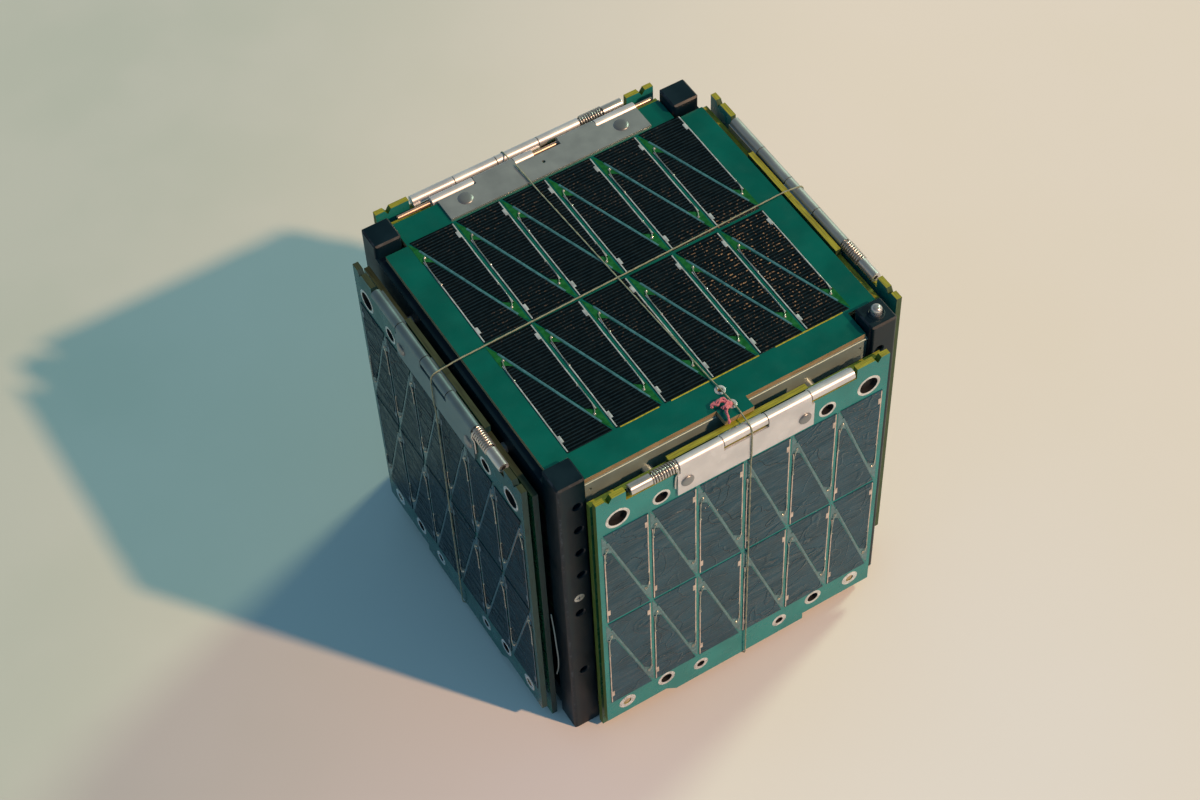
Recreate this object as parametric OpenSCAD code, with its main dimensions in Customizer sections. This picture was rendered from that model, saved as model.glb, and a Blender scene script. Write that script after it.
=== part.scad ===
// One-unit nanosatellite with four side panels that hinge up and a top panel that hinges back.
// The origin is the middle of the square that the four rail feet stand on. +Z is up, -Y is the front.

/* [Body] */
// Width across the rails, along X and along Y
body_w = 100; // [90:0.5:120]
// Height of the rails
body_h = 113.5; // [100:0.5:140]
// Side of a rail's square section
rail_w = 8; // [7:0.1:10]
// Radius of a rail's long edges
rail_round = 1; // [0.3:0.1:2]
// Bevel on a rail's ends
rail_bevel = 0.5; // [0.2:0.1:1]

/* [Frame] */
// Height of a side frame's beams
beam_h = 8; // [4:0.5:8]
// Height of an aluminium rib
rib_h = 8; // [5:0.5:12]
// Thickness of a side frame's beam
beam_t = 4; // [2:0.5:5]
// Thickness of an aluminium rib
rib_t = 2.6; // [1.5:0.1:4]
// How far a rib's face lies behind the rail faces
rib_back = 1.8; // [0:0.1:3]
// Radius of the screw holes in the rails
hole_r = 1.2; // [0.6:0.1:1.3]
// Depth of the screw holes in the rails
hole_depth = 4; // [2:0.5:6]
// Radius of the countersink at a rail hole's mouth
sink_r = 1.5; // [1:0.1:2]
// How far the upper rail holes lie inward of the rail's centre line
hole_inset = 1.2; // [0:0.1:1.5]
// Pitch of the upper rail holes
hole_pitch = 10; // [8:0.5:12]
// Distance of the highest rail hole below the rail's top
hole_top = 9.75; // [8:0.25:12]

/* [Boards] */
// Thickness of every circuit board
board_t = 1.6; // [1:0.1:2.4]
// Width of a side panel's boards
panel_w = 86.5; // [80:0.5:92]
// Length of the spacers that hold the inner boards off the rail faces
spacer_l = 1.8; // [1:0.1:3]
// Radius of those spacers
spacer_r = 1.5; // [1:0.1:2]
// Height of an outer side board above the feet, at its lower edge
panel_low = 7.2; // [4:0.1:10]
// Distance of an outer side board's ears below the rail tops
panel_drop = 3.4; // [3.2:0.1:6]
// Width of the tab on an outer side board's lower edge
low_tab_w = 42; // [20:1:60]
// Depth of that tab
low_tab_h = 2.6; // [1:0.1:3]
// How far the slanted end of that tab runs out at its root
low_tab_slant = 3.2; // [0:0.1:5]
// Gap between an inner board and the outer board over it
panel_gap = 1.3; // [1.2:0.1:1.6]
// Distance of the top board's upper face below the rail tops
top_drop = 3; // [2:0.1:5]
// Width of the top board's front tab
top_tab_w = 8.6; // [6:0.1:20]
// How far the top board's front tab reaches out
top_tab_h = 3.8; // [1:0.1:4]
// How far the top board sits to the right of the middle
top_shift = 1; // [0:0.1:1]

/* [Cells] */
// Columns of solar cell pairs on a panel
cell_cols = 6; // [3:1:8]
// Rows of solar cell pairs on a panel
cell_rows = 2; // [1:1:4]
// Width of one pair
cell_w = 14.1; // [8:0.1:14.3]
// Height of one pair
cell_h = 40.6; // [20:0.1:40.8]
// Thickness of a cell
cell_t = 0.2; // [0.1:0.05:0.4]
// Gap between two cells
cell_gap = 1; // [0.3:0.1:1.5]
// Length cut from a cell's sharp tip
cell_clip = 8; // [3:0.5:10]
// Height of the lowest side cells above the feet
cell_low = 15.5; // [12:0.1:16]
// Distance of the top cells behind the top board's front edge
cell_front = 8.4; // [7:0.1:8.5]

/* [Hinges] */
// Outside radius of the hinge knuckles
knuckle_r = 1.5; // [1.3:0.05:1.6]
// Radius of the side hinge pins
pin_r = 0.9; // [0.5:0.05:1]
// Radius of the top hinge pin
top_pin_r = 0.6; // [0.4:0.05:0.8]
// Radial clearance of a moving knuckle on its pin
pin_clear = 0.05; // [0.02:0.01:0.1]
// End clearance between two knuckles
knuckle_clear = 0.15; // [0.1:0.05:0.3]
// Thickness of the hinge leaves
leaf_t = 0.6; // [0.4:0.1:0.8]
// Length of one side hinge knuckle
knuckle_l = 13; // [8:0.5:14]
// Length of the coil spring
spring_l = 7.6; // [5:0.1:8]
// Radius of the spring's wire
wire_r = 0.3; // [0.2:0.05:0.35]
// Length of the sleeve that holds the spring on its pin
sleeve_l = 6; // [4:0.5:7]
// Depth of a side hinge leaf below the pin
leaf_h = 10.8; // [8:0.1:12]
// Radius of a rivet head
rivet_r = 1.8; // [1:0.1:2]
// Height of a rivet head
rivet_h = 0.2; // [0.1:0.05:0.4]

/* [Separation spring] */
// Radius of the plunger on the front right rail
plunger_r = 1.5; // [1:0.1:2.5]
// Height of the plunger above the rail's top
plunger_h = 2.6; // [1.8:0.1:3]

/* [Hidden] */
$fn = 48;
SLIP = 0.1;      // gap under and beside a panel that lies on the frame
CUT = 1;         // how far a cutting shape runs past the face it cuts
WIND = 0.95;     // pitch of the coil as a share of the wire, so that its turns meet
BITE = 0.1;      // how deep a knuckle reaches into the plate that carries it
CLIP_DROP = 1.6; // how much lower a cell's cut tip ends on its slanted side
CELL_CLEAR = 0.5; // least gap between a top cell and a rail
NOTCH_X = 0.5;   // gap between an end board's notch and a rail, along X
NOTCH_Y = 1.6;   // the same along Y, which the top board needs to swing clear
BLOCK_GAP = 0.5; // gap around the block inside
BLOCK_TOP = 4;   // gap between the block and the upper beams

half = body_w / 2;
rail_in = half - rail_w;             // inner face of a rail
rail_mid = half - rail_w / 2;        // centre line of a rail
board_top_z = body_h - top_drop;     // upper face of the top board
frame_top = board_top_z - board_t - SLIP;
frame_low = top_drop + board_t;      // lower face of the lower beams
beam_in = half - beam_t;

inner_y = half + spacer_l + board_t; // outer face of an inner board, measured from the middle
outer_y = inner_y + panel_gap;       // inner face of an outer board
face_y = outer_y + board_t;          // outer face of an outer board
axis_y = face_y + leaf_t - knuckle_r; // side hinge axis
ear_top = body_h - panel_drop;       // upper edge of an outer board's ears
ear_over = 1.6;                      // how far the ears stand above the hinge axis
axis_z = ear_top - ear_over;         // side hinge axis
// Outer face of the plate that carries a fixed knuckle
web_y = max(inner_y + leaf_t, axis_y - knuckle_r + BITE);

knuckle_x = -19.6;                   // start of the first side knuckle
leaf_x = 20.2;                       // half width of a side hinge leaf
slot_gap = 0.5;                      // gap between a knuckle and the edges that face it
slot_z = axis_z - knuckle_r - slot_gap;
hinge_end = knuckle_x + 4 * knuckle_l;
sleeve_x = knuckle_x - spring_l - sleeve_l;
slot_ends = [1.5, 0.9];              // room beyond the sleeve and beyond the last knuckle
slot_left = sleeve_x - slot_ends[0];
slot_right = hinge_end + slot_ends[1];
rivet_x = 17.4;
rivet_drop = 6.3;                    // rivets below the side hinge axis
rivet_z = axis_z - rivet_drop;
rivet_crown = 0.6;                   // a rivet's flat crown as a share of its radius
ear_notch_in = 3.6;                  // V notch in each ear: distance from the side, half width and depth
ear_notch_w = 1;
ear_notch_h = 1.6;

inner_low = 1.5;                     // lower edge of an inner board
inner_drop = 2;                      // upper edge of an inner board's sides below the hinge axis
inner_back_drop = 1.2;               // back board's tab below the frame, under the top hinge
inner_side_top = axis_z - inner_drop;
inner_tab_top = frame_top - SLIP;    // upper edge of an inner board's tab
inner_back_top = frame_top - inner_back_drop;
inner_tab_w = 41;
spacer_x = 24;                       // spacers, left and right of the middle
spacer_in = [3, 6.5];                // spacers inside the frame's lower and upper faces
spacer_z = [frame_low + spacer_in[0], frame_top - spacer_in[1]];
rib_hole_r = 0.5;                    // small hole near each end of a rib, in from its end and its upper edge
rib_hole_in = [2, 3.4];
deck_rise = 1.2;                     // top deck above the lower face of the upper beams

// Holes in an outer side board: [x, distance below the ears or above the lower edge, radius]
high_holes = [[37.3, 9.2, 2.7], [24.7, 10.1, 1.9]];
low_holes = [[36.8, 5, 1.2], [24.2, 5.7, 1.7], [13, 3.3, 1.2]];
tie_hole_r = 0.7;

// Top board and its hinge
top_side_in = 1;                     // an end board's sides behind the rail faces
top_half = half - top_side_in;       // half width of the top board
top_front = half - rib_back;         // front edge of the top board
top_back_in = 0.9;                   // back edge of the top board behind the rail faces
top_back = half - top_back_in;
top_knuckle_gap = 0.6;               // gap between the top board and its knuckles
top_axis_y = top_back + knuckle_r + top_knuckle_gap;
top_axis_z = board_top_z + leaf_t - knuckle_r;
top_under_z = board_top_z - board_t - 2 * SLIP - leaf_t; // lower face of the fixed leaf
top_leaf_half = 31;
top_leaf_l = 9.4;                    // depth of the top hinge's leaves from the axis
top_leaf_y = top_axis_y - top_leaf_l;
top_slot_gap = 0.4;                  // gap between a knuckle and the leaf that faces it
top_slot_y = top_axis_y - knuckle_r - top_slot_gap;
top_hinge_off = 2.6;                 // middle of the top hinge, to the right of the board's middle
top_hinge_x = top_shift + top_hinge_off;
top_pin_half = 39.6;
// Start and end of the knuckles, from the middle of the top hinge
top_fixed = [[-32.3, -19.2], [-6.8, -0.9], [18.6, 31.4]];
top_moving = [[-19.2, -6.8], [7, 18.6]];
top_slots = [[-32.3, -19.2], [-6.8, 7], [18.6, 32]];
top_gap = [-0.9, 7];                 // span of the hinge that has no knuckle
top_rivet_x = 24.2;
top_rivet_in = 4.4;                  // top rivets behind the leaf's front edge
top_rivet_y = top_leaf_y + top_rivet_in;
top_rivet_r = 1.15 * rivet_r;        // radius of a top rivet at its foot
top_pilot = [-0.2, 0.5];             // small hole between the top rivets: place and radius
tie_holes = [[top_shift, 5], [top_shift, -0.1]]; // [x, distance behind the top board's front edge]

screw_z = body_h - hole_top - 4 * hole_pitch;
high_hole_z = [for (i = [0:3]) body_h - hole_top - i * hole_pitch];
low_hole_z = [body_h / 2, body_h / 4];

cells_w = cell_cols * cell_w;
cells_h = cell_rows * cell_h;

// Turns what is drawn on the front face to another side; the left side is also mirrored.
module on_side(side) {
    if (side == "front") children();
    if (side == "back") rotate([0, 0, 180]) children();
    if (side == "right") rotate([0, 0, 90]) children();
    if (side == "left") rotate([0, 0, -90]) mirror([1, 0, 0]) children();
}

// A flat outline drawn in X and Z, made solid from depth y0 to depth y1 in front of the middle.
module upright(y0, y1) {
    translate([0, -y0, 0]) rotate([90, 0, 0]) linear_extrude(y1 - y0) children();
}

// A cylinder along X from x0 to x1.
module rod(x0, x1, r) {
    translate([x0, 0, 0]) rotate([0, 90, 0]) cylinder(r = r, h = x1 - x0);
}

module at_side_axis() { translate([0, -axis_y, axis_z]) children(); }
module at_top_axis() { translate([0, top_axis_y, top_axis_z]) children(); }

module rounded_square(w, r) {
    square([w - 2 * r, w], center = true);
    square([w, w - 2 * r], center = true);
    for (x = [-1, 1], y = [-1, 1]) translate([x * (w / 2 - r), y * (w / 2 - r)]) circle(r = r);
}

// Side view of a rail with bevelled ends.
module bevelled_outline() {
    w = rail_w / 2;
    polygon([[-w, rail_bevel], [-w + rail_bevel, 0], [w - rail_bevel, 0], [w, rail_bevel],
        [w, body_h - rail_bevel], [w - rail_bevel, body_h],
        [-w + rail_bevel, body_h], [-w, body_h - rail_bevel]]);
}

module rail() {
    intersection() {
        linear_extrude(body_h) rounded_square(rail_w, rail_round);
        translate([0, rail_w, 0]) rotate([90, 0, 0]) linear_extrude(2 * rail_w) bevelled_outline();
        translate([-rail_w, 0, 0]) rotate([90, 0, 90]) linear_extrude(2 * rail_w) bevelled_outline();
    }
}

// A countersunk blind hole that runs in along +Y from the face at y = 0.
module sunk_hole() {
    rotate([-90, 0, 0]) {
        translate([0, 0, -CUT]) cylinder(r = hole_r, h = hole_depth + CUT);
        translate([0, 0, -0.01]) cylinder(r1 = sink_r + 0.01, r2 = hole_r, h = sink_r - hole_r + 0.01);
    }
}

// The holes in the front face of a rail on the +X side.
module rail_holes() {
    for (z = high_hole_z) translate([-hole_inset, -rail_w / 2, z]) sunk_hole();
    for (z = concat(low_hole_z, [screw_z])) translate([0, -rail_w / 2, z]) sunk_hole();
}

// Two rails and the beams between them, on the +X side.
module side_frame() {
    color([0.06, 0.07, 0.09]) difference() {
        union() {
            for (y = [-1, 1]) translate([rail_mid, y * rail_mid, 0]) rail();
            for (z = [frame_low, frame_top - beam_h])
                translate([beam_in, -rail_mid, z]) cube([beam_t, 2 * rail_mid, beam_h]);
        }
        translate([rail_mid, -rail_mid, 0]) rail_holes();
        translate([rail_mid, rail_mid, 0]) mirror([0, 1, 0]) rail_holes();
    }
}

// An aluminium rib across the front, with a small hole near each end.
module rib(z0, z1) {
    color([0.75, 0.76, 0.76]) upright(half - rib_back - rib_t, half - rib_back) difference() {
        translate([-rail_in, z0]) square([2 * rail_in, z1 - z0]);
        for (x = [-1, 1]) translate([x * (rail_in - rib_hole_in[0]), z1 - rib_hole_in[1]])
            circle(r = rib_hole_r);
    }
}

module inner_board(tab_top) {
    color([0.12, 0.36, 0.22]) upright(half + spacer_l, inner_y) {
        translate([-panel_w / 2, inner_low]) square([panel_w, inner_side_top - inner_low]);
        translate([-inner_tab_w / 2, inner_low]) square([inner_tab_w, tab_top - inner_low]);
    }
}

// Spacers between the frame and the inner boards: four on each side.
module board_spacers() {
    color([0.6, 0.6, 0.6]) for (side = ["front", "back", "left", "right"]) on_side(side)
        for (x = [-1, 1], z = spacer_z) {
            back = side == "front" || side == "back" ? rib_back : 0;
            translate([x * spacer_x, -half + back, z]) rotate([90, 0, 0])
                cylinder(r = spacer_r, h = spacer_l + back);
        }
}

// A board that closes an end: its corners are cut away around the rails.
module end_board_outline(x0, x1, y0, y1) {
    difference() {
        translate([x0, y0]) square([x1 - x0, y1 - y0]);
        for (x = [-1, 1], y = [-1, 1]) translate([x * half, y * half])
            square([2 * (rail_w + NOTCH_X), 2 * (rail_w + NOTCH_Y)], center = true);
    }
}

module bottom_board() {
    color([0.1, 0.34, 0.22]) translate([0, 0, top_drop]) linear_extrude(board_t)
        end_board_outline(-top_half, top_half, -top_front, top_front);
}

module top_deck() {
    color([0.1, 0.3, 0.2]) translate([0, 0, frame_top - beam_h + deck_rise]) linear_extrude(board_t) {
        square([2 * beam_in, 2 * rail_in], center = true);
        square([2 * rail_in, 2 * (half - rib_back - rib_t)], center = true);
    }
}

// The packed boards, battery and radio inside, as one plain block on the bottom board.
module avionics_block() {
    w = [beam_in - BLOCK_GAP, rail_in - BLOCK_GAP];
    color([0.3, 0.3, 0.32]) translate([-w[0], -w[1], frame_low])
        cube([2 * w[0], 2 * w[1], body_h - 2 * frame_low - beam_h - BLOCK_TOP]);
}

// The plunger: a pin with a domed tip.
module separation_spring() {
    dome_r = 1.15 * plunger_r;
    color([0.8, 0.8, 0.82]) translate([rail_mid, -rail_mid, body_h]) intersection() {
        cylinder(r = plunger_r, h = plunger_h);
        translate([0, 0, plunger_h - dome_r]) sphere(r = dome_r);
    }
}

// Countersunk screws, one in each rail, with a cross-shaped recess.
module rail_screws() {
    slot_l = 1.8;
    slot_w = 0.3;
    slot_deep = 0.4;
    color([0.7, 0.72, 0.74]) for (x = [-1, 1], side = ["front", "back"]) on_side(side)
        translate([x * rail_mid, -half, screw_z]) rotate([-90, 0, 0]) difference() {
            union() {
                cylinder(r1 = sink_r, r2 = hole_r, h = sink_r - hole_r);
                cylinder(r = hole_r, h = hole_depth);
            }
            for (a = [0, 90]) rotate([0, 0, a]) translate([-slot_l / 2, -slot_w / 2, -CUT])
                cube([slot_l, slot_w, CUT + slot_deep]);
        }
}

// The leaf that is riveted to an inner board, with the second and fourth knuckles.
module fixed_leaf() {
    color([0.75, 0.77, 0.78]) difference() {
        union() {
            upright(inner_y, inner_y + leaf_t)
                translate([-leaf_x, axis_z - leaf_h]) square([leaf_x + hinge_end, slot_z - axis_z + leaf_h]);
            for (k = [1, 3]) {
                x0 = knuckle_x + k * knuckle_l + knuckle_clear;
                x1 = knuckle_x + (k + 1) * knuckle_l - (k == 1 ? knuckle_clear : 0);
                at_side_axis() rod(x0, x1, knuckle_r);
                upright(inner_y, web_y)
                    translate([x0, slot_z - CUT]) square([x1 - x0, axis_z - slot_z + CUT]);
            }
        }
        at_side_axis() rod(-half, half, pin_r);
    }
}

// The hinge pin, with the sleeve that the spring winds against.
module pin() {
    color([0.8, 0.8, 0.8]) at_side_axis() {
        rod(sleeve_x, sleeve_x + sleeve_l, knuckle_r);
        rod(sleeve_x, hinge_end, pin_r);
    }
}

// A close-wound coil on the pin, as rings that run into each other.
module spring() {
    room = spring_l - 2 * wire_r - 2 * SLIP;
    turns = floor(room / (2 * wire_r * WIND));
    pitch = room / turns;
    color([0.6, 0.6, 0.6]) at_side_axis() translate([knuckle_x - spring_l + SLIP, 0, 0]) rotate([0, 90, 0])
        rotate_extrude() {
            for (i = [0:turns])
                translate([pin_r + wire_r, wire_r + i * pitch]) circle(r = wire_r, $fn = 16);
            translate([pin_r, wire_r]) square([wire_r, turns * pitch]);
        }
}

// The leaf that is riveted to an outer board, with the first and third knuckles.
module leaf() {
    color([0.8, 0.81, 0.82]) difference() {
        union() {
            upright(face_y, face_y + leaf_t) {
                translate([-leaf_x, axis_z - leaf_h]) square([2 * leaf_x, slot_z - axis_z + leaf_h]);
                for (k = [0, 2]) translate([knuckle_x + k * knuckle_l + knuckle_clear, slot_z - CUT])
                    square([knuckle_l - 2 * knuckle_clear, axis_z - slot_z + CUT]);
            }
            for (k = [0, 2]) at_side_axis()
                rod(knuckle_x + k * knuckle_l + knuckle_clear,
                    knuckle_x + (k + 1) * knuckle_l - knuckle_clear, knuckle_r);
            for (x = [-1, 1]) translate([x * rivet_x, -face_y - leaf_t, rivet_z])
                rotate([90, 0, 0]) cylinder(r1 = rivet_r, r2 = rivet_crown * rivet_r, h = rivet_h);
        }
        at_side_axis() rod(-half, half, pin_r + pin_clear);
    }
}

// An outer side board: ears with V notches, a slot for the hinge, a tab below, and plated holes.
module side_board() {
    color([0.14, 0.42, 0.36]) upright(outer_y, face_y) difference() {
        union() {
            translate([-panel_w / 2, panel_low]) square([panel_w, ear_top - panel_low]);
            translate([0, panel_low]) polygon([[-low_tab_w / 2 - low_tab_slant, 0],
                [-low_tab_w / 2, -low_tab_h], [low_tab_w / 2, -low_tab_h], [low_tab_w / 2, CUT],
                [-low_tab_w / 2, CUT]]);
        }
        translate([slot_left, slot_z]) square([slot_right - slot_left, ear_top]);
        for (x = [-1, 1]) {
            translate([x * (panel_w / 2 - ear_notch_in), ear_top]) polygon([[-ear_notch_w, CUT],
                [-ear_notch_w, 0], [0, -ear_notch_h], [ear_notch_w, 0], [ear_notch_w, CUT]]);
            for (h = high_holes) translate([x * h[0], ear_top - h[1]]) circle(r = h[2]);
            for (h = low_holes) translate([x * h[0], panel_low + h[1]]) circle(r = h[2]);
        }
    }
}

// Two triangular cells that share a rectangle; each has its sharp tip cut off.
module cell_pair() {
    lean = cell_gap / 2 * sqrt(1 / pow(cell_w, 2) + 1 / pow(cell_h, 2));
    g = cell_gap / 2;
    y_clip = cell_h - cell_clip;
    y_low = y_clip - CLIP_DROP;
    outline = [[g, g], [cell_w * (1 - lean - g / cell_h), g],
        [cell_w * (1 - lean - y_low / cell_h), y_low], [g, y_clip]];
    polygon(outline);
    polygon([for (p = outline) [cell_w - p[0], cell_h - p[1]]]);
}

module cell_field() {
    for (i = [0:cell_cols - 1], j = [0:cell_rows - 1]) translate([i * cell_w, j * cell_h]) cell_pair();
}

module side_cells() {
    color([0.1, 0.12, 0.15]) upright(face_y, face_y + cell_t)
        translate([-cells_w / 2, cell_low]) cell_field();
}

// The top cells, which keep clear of the rails.
module top_cells() {
    color([0.06, 0.07, 0.09]) translate([0, 0, board_top_z]) linear_extrude(cell_t) difference() {
        translate([top_shift - cells_w / 2, cell_front - top_front]) cell_field();
        for (x = [-1, 1], y = [-1, 1]) translate([x * half, y * half])
            square(2 * (rail_w + CELL_CLEAR), center = true);
    }
}

module top_board() {
    color([0.05, 0.33, 0.24]) translate([0, 0, board_top_z - board_t]) linear_extrude(board_t)
        difference() {
            union() {
                end_board_outline(top_shift - top_half, top_shift + top_half, -top_front, top_back);
                translate([top_shift - top_tab_w / 2, -top_front - top_tab_h])
                    square([top_tab_w, top_tab_h + CUT]);
            }
            for (p = tie_holes) translate([p[0], p[1] - top_front]) circle(r = tie_hole_r);
        }
}

// Knuckles of the top hinge along its axis, each a little short at both ends.
module top_knuckles(spans) {
    for (s = spans) rod(s[0] + knuckle_clear, s[1] - knuckle_clear, knuckle_r);
}

// A plate of the top hinge with its lower face at height z, cut back where the spans lie.
module top_plate(z, spans) {
    translate([0, top_leaf_y, z]) difference() {
        translate([-top_leaf_half, 0, 0]) cube([2 * top_leaf_half, top_axis_y - top_leaf_y, leaf_t]);
        for (s = spans) translate([s[0], top_slot_y - top_leaf_y, -CUT])
            cube([s[1] - s[0], knuckle_r * 4, leaf_t + 2 * CUT]);
    }
}

module fixed_top_leaf() {
    color([0.72, 0.74, 0.75]) translate([top_hinge_x, 0, 0]) difference() {
        union() {
            top_plate(top_under_z, concat(top_moving, [top_gap]));
            at_top_axis() top_knuckles(top_fixed);
        }
        at_top_axis() rod(-half, half, top_pin_r);
    }
}

module top_leaf() {
    color([0.72, 0.75, 0.76]) translate([top_hinge_x, 0, 0]) difference() {
        union() {
            top_plate(board_top_z, top_slots);
            at_top_axis() top_knuckles(top_moving);
            for (x = [-1, 1]) translate([x * top_rivet_x, top_rivet_y, board_top_z + leaf_t])
                cylinder(r1 = top_rivet_r, r2 = rivet_r, h = rivet_h);
        }
        at_top_axis() rod(-half, half, top_pin_r + pin_clear);
        translate([top_pilot[0], top_rivet_y, board_top_z]) cylinder(r = top_pilot[1], h = leaf_t + CUT);
    }
}

module top_pin() {
    color([0.75, 0.6, 0.5]) at_top_axis() rod(top_shift - top_pin_half, top_shift + top_pin_half, top_pin_r);
}

mirror([1, 0, 0]) side_frame();  // side_frame_left
side_frame();  // side_frame_right
rib(frame_top - rib_h, frame_top);  // rib_front_top
rib(frame_low, frame_low + rib_h);  // rib_front_bottom
on_side("back") rib(frame_top - rib_h, top_under_z);  // rib_back_top
on_side("back") rib(frame_low, frame_low + rib_h);  // rib_back_bottom
inner_board(inner_tab_top);  // inner_board_front
on_side("back") inner_board(inner_back_top);  // inner_board_back
on_side("left") inner_board(inner_tab_top);  // inner_board_left
on_side("right") inner_board(inner_tab_top);  // inner_board_right
board_spacers();
bottom_board();
top_deck();
avionics_block();
separation_spring();
rail_screws();
on_side("front") fixed_leaf();  // fixed_leaf_front
on_side("back") fixed_leaf();  // fixed_leaf_back
on_side("left") fixed_leaf();  // fixed_leaf_left
on_side("right") fixed_leaf();  // fixed_leaf_right
fixed_top_leaf();  // fixed_leaf_top
on_side("front") pin();  // pin_front
on_side("back") pin();  // pin_back
on_side("left") pin();  // pin_left
on_side("right") pin();  // pin_right
top_pin();  // pin_top
on_side("front") spring();  // spring_front
on_side("back") spring();  // spring_back
on_side("left") spring();  // spring_left
on_side("right") spring();  // spring_right
on_side("front") leaf();  // leaf_front
on_side("back") leaf();  // leaf_back
on_side("left") leaf();  // leaf_left
on_side("right") leaf();  // leaf_right
top_leaf();  // leaf_top
on_side("front") side_board();  // board_front
on_side("back") side_board();  // board_back
on_side("left") side_board();  // board_left
on_side("right") side_board();  // board_right
top_board();  // board_top
on_side("front") side_cells();  // cells_front
on_side("back") side_cells();  // cells_back
on_side("left") side_cells();  // cells_left
on_side("right") side_cells();  // cells_right
top_cells();  // cells_top
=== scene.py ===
"""Looks of a one-unit nanosatellite: finishes, wiring, solder, tie line, floor, light and camera.

Lengths are in millimetres unless a name says otherwise, and become metres when a mesh is made. A panel has
its own directions: u runs along its hinge, v away from its lower edge, and w out of its face.
"""
import logging
import math
from dataclasses import dataclass, field
from enum import Enum
from typing import Sequence

import bmesh
import bpy
import numpy as np
from mathutils import Matrix, Vector


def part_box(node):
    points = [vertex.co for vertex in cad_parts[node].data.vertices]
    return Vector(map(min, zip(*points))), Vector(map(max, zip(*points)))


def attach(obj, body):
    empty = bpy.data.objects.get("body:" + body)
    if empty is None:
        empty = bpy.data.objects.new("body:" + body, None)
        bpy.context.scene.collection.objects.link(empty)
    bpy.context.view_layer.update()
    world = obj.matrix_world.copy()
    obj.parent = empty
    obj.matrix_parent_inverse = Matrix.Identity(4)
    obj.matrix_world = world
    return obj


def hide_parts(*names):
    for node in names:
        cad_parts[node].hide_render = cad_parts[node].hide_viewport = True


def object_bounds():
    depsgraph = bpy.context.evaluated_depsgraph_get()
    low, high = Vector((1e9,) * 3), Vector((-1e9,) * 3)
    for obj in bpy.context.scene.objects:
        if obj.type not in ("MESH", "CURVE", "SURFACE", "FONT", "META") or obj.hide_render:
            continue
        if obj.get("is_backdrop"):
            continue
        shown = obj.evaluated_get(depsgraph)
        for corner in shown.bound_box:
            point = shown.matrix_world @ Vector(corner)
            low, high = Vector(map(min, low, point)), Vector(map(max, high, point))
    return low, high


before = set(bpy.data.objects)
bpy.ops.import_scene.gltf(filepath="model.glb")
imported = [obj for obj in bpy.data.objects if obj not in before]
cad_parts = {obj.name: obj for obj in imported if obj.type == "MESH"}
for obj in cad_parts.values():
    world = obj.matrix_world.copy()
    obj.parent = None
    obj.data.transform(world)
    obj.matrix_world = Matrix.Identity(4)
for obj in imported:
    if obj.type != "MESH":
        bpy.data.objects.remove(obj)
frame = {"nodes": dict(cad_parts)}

MM = 0.001
SINK = 0.02  # how deep a piece reaches into the face it lies on
SPREAD = 400  # directions tried as the reference of a tube's sections
SHARP, CROWN, ROUND, CORD = 35.0, 50.0, 60.0, 70.0  # angles past which edges stay sharp, by kind of piece
Colour = tuple[float, float, float]
Point = tuple[float, float]
Profile = Sequence[Point]
Material, Object, Socket = bpy.types.Material, bpy.types.Object, bpy.types.NodeSocket
Value = float | Sequence[float] | Socket
log = logging.getLogger("satellite")


def placed(name: str, data: bpy.types.ID) -> Object:
    """A new object in the scene, by its name and what it shows."""
    made = bpy.data.objects.new(name, data)
    bpy.context.scene.collection.objects.link(made)
    return made


class Face(Enum):
    """A face of the satellite, as the directions of u, v and w."""

    FRONT = ((1, 0, 0), (0, 0, 1), (0, -1, 0))
    BACK = ((-1, 0, 0), (0, 0, 1), (0, 1, 0))
    LEFT = ((0, 1, 0), (0, 0, 1), (-1, 0, 0))
    RIGHT = ((0, 1, 0), (0, 0, 1), (1, 0, 0))
    TOP = ((1, 0, 0), (0, 1, 0), (0, 0, 1))

    @property
    def key(self) -> str:
        """The word that the nodes and bodies of this face end in."""
        return self.name.lower()

    @property
    def axes(self) -> np.ndarray:
        """Rows u, v and w, each a direction in the satellite's frame."""
        return np.array(self.value, float)

    @property
    def normal_index(self) -> int:
        """0, 1 or 2 for the axis, X, Y or Z, that w lies along."""
        return int(np.argmax(np.abs(self.axes[2])))

    def span(self, node: str) -> tuple[np.ndarray, np.ndarray]:
        """Lowest and highest u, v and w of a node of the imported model."""
        corners = np.array([list(c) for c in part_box(node)]) / MM @ self.axes.T
        return corners.min(0), corners.max(0)


SIDES = (Face.FRONT, Face.BACK, Face.LEFT, Face.RIGHT)


@dataclass
class Surface:
    """Points in u, v and w, and quads over them."""

    points: np.ndarray
    quads: np.ndarray

    @staticmethod
    def joined(parts: Sequence["Surface"]) -> "Surface":
        """All the parts as one surface, in order."""
        starts = np.cumsum([0] + [len(p.points) for p in parts[:-1]])
        return Surface(np.concatenate([p.points for p in parts]),
                       np.concatenate([p.quads + s for p, s in zip(parts, starts)]))


def lattice(rows: int, cols: int, round_rows: bool = False) -> np.ndarray:
    """Quads of a grid whose columns close on themselves.

    Args:
        rows: number of rows of points.
        cols: number of points in a row.
        round_rows: whether the last row joins the first as well.

    Returns:
        An array of quads, four point numbers each.
    """
    i = np.arange(rows if round_rows else rows - 1)[:, None]
    j = np.arange(cols)[None, :]
    right, below = (j + 1) % cols, (i + 1) % rows
    quads = [i * cols + j, i * cols + right, below * cols + right, below * cols + j]
    return np.stack(quads, -1).reshape(-1, 4)


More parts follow.
